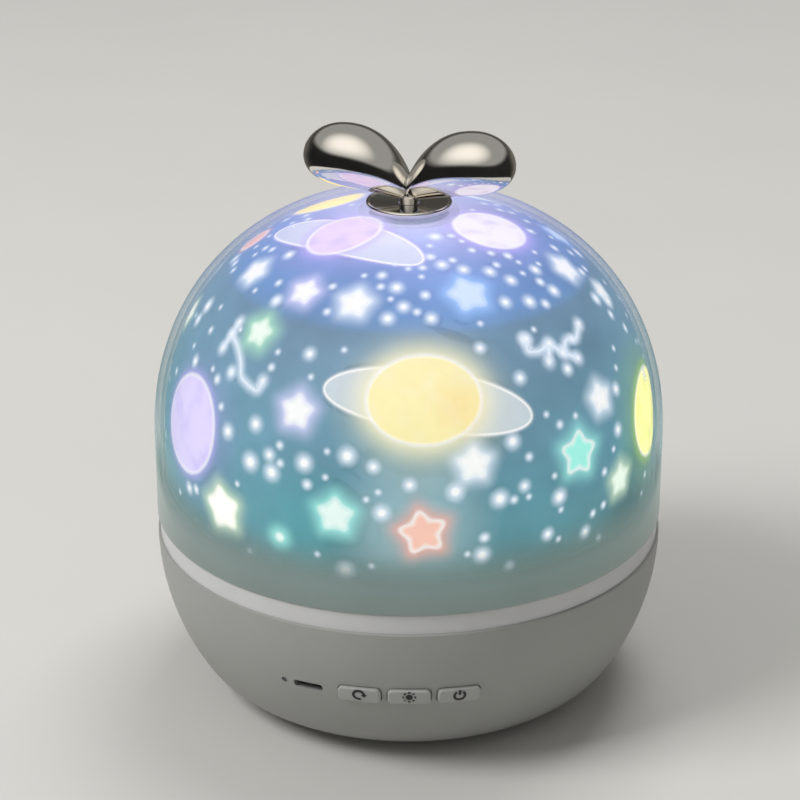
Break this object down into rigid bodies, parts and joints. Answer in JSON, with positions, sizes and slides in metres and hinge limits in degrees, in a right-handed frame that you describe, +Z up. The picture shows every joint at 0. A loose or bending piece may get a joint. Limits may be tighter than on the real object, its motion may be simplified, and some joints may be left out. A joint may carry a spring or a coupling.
{
  "type": "star night light projector",
  "caption": "Star night light: bowl base with side buttons, lift-off frosted dome with a mirror sprout handle, over a motor-turned printed film dome.",
  "frame": {"origin": "centre of the base on the table, at the underside of the feet", "axes": "+Z up along the dome axis; the buttons face -Y"},
  "size_m": [0.13, 0.13, 0.1476],
  "materials": {
    "white_shell": "satin white moulded plastic",
    "white_button": "satin white moulded plastic with dark printed icons",
    "foot_rubber": "matte rubber",
    "screw_steel": "zinc plated",
    "board": "green solder mask",
    "chip_black": "moulded black resin",
    "coil_copper": "enamelled copper winding",
    "socket_steel": "tinned steel",
    "led_phosphor": "phosphor in clear resin",
    "clear_plastic": "clear moulded plastic",
    "socket_nylon": "natural nylon",
    "cell_wrap": "shrunk film wrap",
    "contact_nickel": "nickel strip",
    "gear_nylon": "white acetal",
    "motor_steel": "drawn steel can",
    "cable_red": "insulated lead",
    "washer_nylon": "nylon",
    "clip_steel": "spring steel",
    "lamp_board": "white coated aluminium",
    "side_film": "printed film, teal to blue, with planets and stars",
    "top_film": "printed film, blue to violet, with planets and stars",
    "shaft_steel": "ground",
    "frosted_shade": "glossy frosted plastic, tinted teal below to violet above",
    "mirror_plating": "mirror plated plastic",
    "washer_clear": "translucent plastic"
  },
  "bodies": {
    "base": {"base_bowl": "white_shell", "rubber_feet": "foot_rubber", "top_deck": "white_shell", "deck_screws": "screw_steel", "circuit_board": "board", "board_screws": "screw_steel", "control_chip": "chip_black", "charge_chip": "chip_black", "choke_coil": "coil_copper", "usb_shell": "socket_steel", "usb_tongue": "chip_black", "switch_bodies": "chip_black", "indicator_led": "led_phosphor", "indicator_light_pipe": "clear_plastic", "cable_sockets": "socket_nylon", "cable_plugs": "socket_nylon", "battery_cell": "cell_wrap", "battery_cradle": "white_shell", "battery_contacts": "contact_nickel", "gear_case": "gear_nylon", "motor_can": "motor_steel", "motor_screws": "screw_steel", "led_cable": "cable_red", "motor_cable": "cable_red", "battery_cable": "cable_red", "table_washer": "washer_nylon", "table_clip": "clip_steel", "lamp_board": "lamp_board", "lamp_chips": "led_phosphor", "lamp_lens": "clear_plastic", "lamp_screws": "screw_steel"},
    "film_dome": {"turntable": "gear_nylon", "film_carrier": "clear_plastic", "side_film": "side_film", "top_film": "top_film", "film_retainer": "clear_plastic"},
    "pinion": {"motor_shaft": "shaft_steel", "drive_pinion": "gear_nylon"},
    "shade": {"shade_dome": "frosted_shade", "handle_dish": "mirror_plating", "sprout_handle": "mirror_plating", "handle_washer": "washer_clear", "handle_screw": "screw_steel"},
    "rotate_key": {"rotate_button": "white_button", "rotate_plunger": "chip_black"},
    "light_key": {"light_button": "white_button", "light_plunger": "chip_black"},
    "power_key": {"power_button": "white_button", "power_plunger": "chip_black"}
  },
  "joints": [
    {"name": "shade_lift", "type": "slide", "parent": "base", "child": "shade", "axis": [0, 0, 1], "range_m": [0, 0.09]},
    {"name": "film_spin", "type": "hinge", "parent": "base", "child": "film_dome", "pos_m": [0, 0, 0.052], "axis": [0, 0, 1], "continuous": true},
    {"name": "pinion_spin", "type": "hinge", "parent": "base", "child": "pinion", "pos_m": [0, 0.0288, 0.048], "axis": [0, 0, 1], "continuous": true},
    {"name": "rotate_press", "type": "slide", "parent": "base", "child": "rotate_key", "axis": [0.1926, 0.9813, 0], "range_m": [0, 0.0006], "stiffness_N_per_m": 500},
    {"name": "light_press", "type": "slide", "parent": "base", "child": "light_key", "axis": [0, 1, 0], "range_m": [0, 0.0006], "stiffness_N_per_m": 500},
    {"name": "power_press", "type": "slide", "parent": "base", "child": "power_key", "axis": [-0.1926, 0.9813, 0], "range_m": [0, 0.0006], "stiffness_N_per_m": 500}
  ],
  "couplings": [
    {"joint": "pinion_spin", "follows": "film_spin", "ratio": -5}
  ]
}
